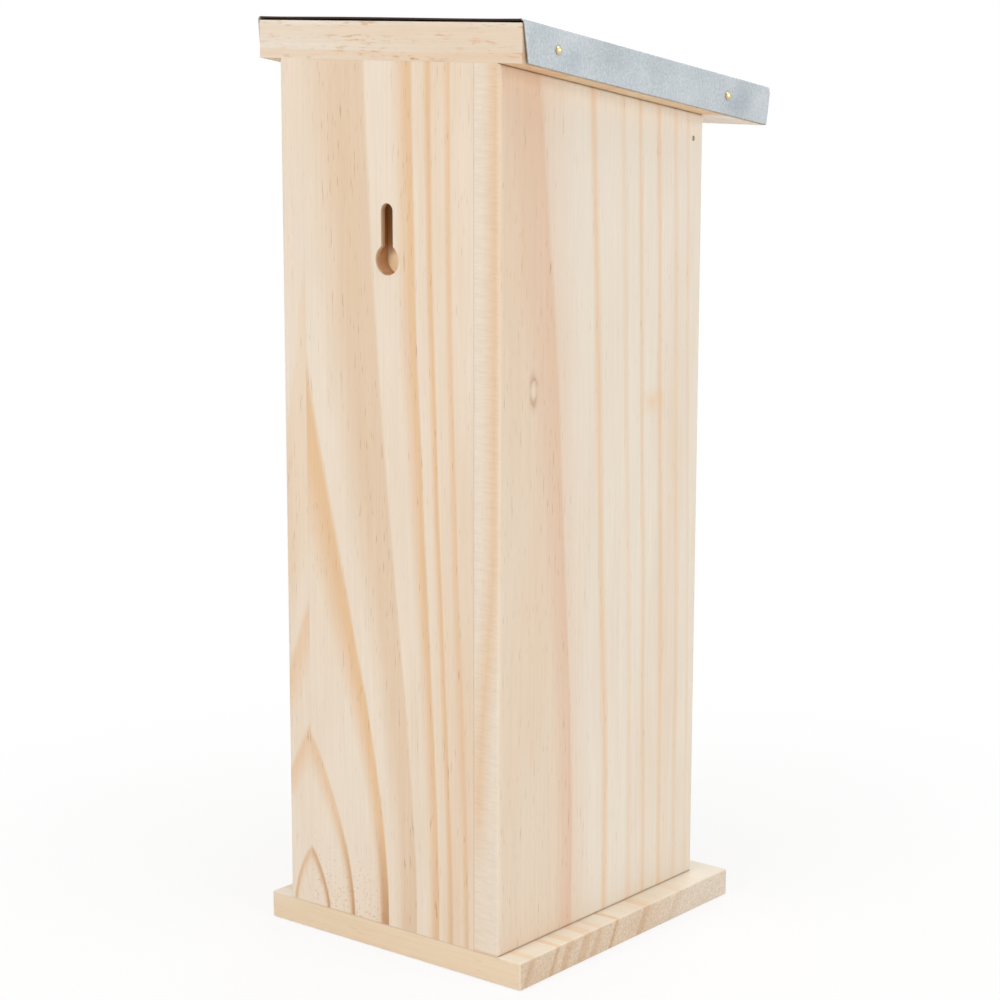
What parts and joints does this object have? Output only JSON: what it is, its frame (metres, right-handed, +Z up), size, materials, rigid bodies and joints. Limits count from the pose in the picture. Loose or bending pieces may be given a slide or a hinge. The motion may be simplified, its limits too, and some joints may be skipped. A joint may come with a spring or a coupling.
{
  "type": "bee hotel",
  "caption": "Tall pine bee hotel with a sheet-covered sloping roof, a keyhole in the back, and drilled wood and bamboo nest tubes behind a wire guard that swings up.",
  "frame": {"origin": "under the middle of the overall box, on the underside of the base board", "axes": "+Z up; +Y to the back, out of the face that goes against a wall; +X to the right seen from the front"},
  "size_m": [0.132, 0.16, 0.3616],
  "materials": {
    "pine": "planed, unfinished",
    "branch_wood": "sawn end grain, bark on",
    "bamboo": "dried cane, sawn ends",
    "zinc_sheet": "matt, faintly mottled",
    "brass": "bright",
    "galvanised_wire": "dull galvanised",
    "zinc_plated_steel": "bright plated"
  },
  "bodies": {
    "house": {"base_board": "pine", "side_panel_left": "pine", "side_panel_right": "pine", "back_panel": "pine", "roof_board": "pine", "roof_sheet": "zinc_sheet", "roof_nails_left": "brass", "roof_nails_right": "brass", "roof_nails_front": "brass", "roof_screws": "zinc_plated_steel", "base_screws": "zinc_plated_steel", "shelf_lower": "pine", "shelf_upper": "pine", "pivot_pin_left": "brass", "pivot_pin_right": "brass", "turn_button_screw": "zinc_plated_steel", "log_1": "branch_wood", "log_2": "branch_wood", "log_3": "branch_wood", "log_4": "branch_wood", "branch_1": "branch_wood", "branch_2": "branch_wood", "branch_3": "branch_wood", "branch_4": "branch_wood", "branch_5": "branch_wood", "branch_6": "branch_wood", "branch_7": "branch_wood", "branch_8": "branch_wood", "cane_01": "bamboo", "cane_02": "bamboo", "cane_03": "bamboo", "cane_04": "bamboo", "cane_05": "bamboo", "cane_06": "bamboo", "cane_07": "bamboo", "cane_08": "bamboo", "cane_09": "bamboo", "cane_10": "bamboo", "cane_11": "bamboo", "cane_12": "bamboo", "cane_13": "bamboo", "cane_14": "bamboo", "cane_15": "bamboo", "cane_16": "bamboo", "cane_17": "bamboo", "cane_18": "bamboo"},
    "guard": {"guard_rail_top": "pine", "guard_rail_bottom": "pine", "guard_rail_lower_cross": "pine", "guard_rail_upper_cross": "pine", "guard_stile_left": "pine", "guard_stile_right": "pine", "guard_mesh": "galvanised_wire", "guard_staples": "galvanised_wire"},
    "turn_button": {"turn_button": "zinc_plated_steel"}
  },
  "joints": [
    {"name": "guard_swing", "type": "hinge", "parent": "house", "child": "guard", "pos_m": [0, -0.041, 0.31456], "axis": [-1, 0, 0], "range_deg": [0, 80]},
    {"name": "turn_button_swivel", "type": "hinge", "parent": "house", "child": "turn_button", "pos_m": [0.048, -0.048, 0.075], "axis": [0, 1, 0], "range_deg": [0, 90]}
  ]
}
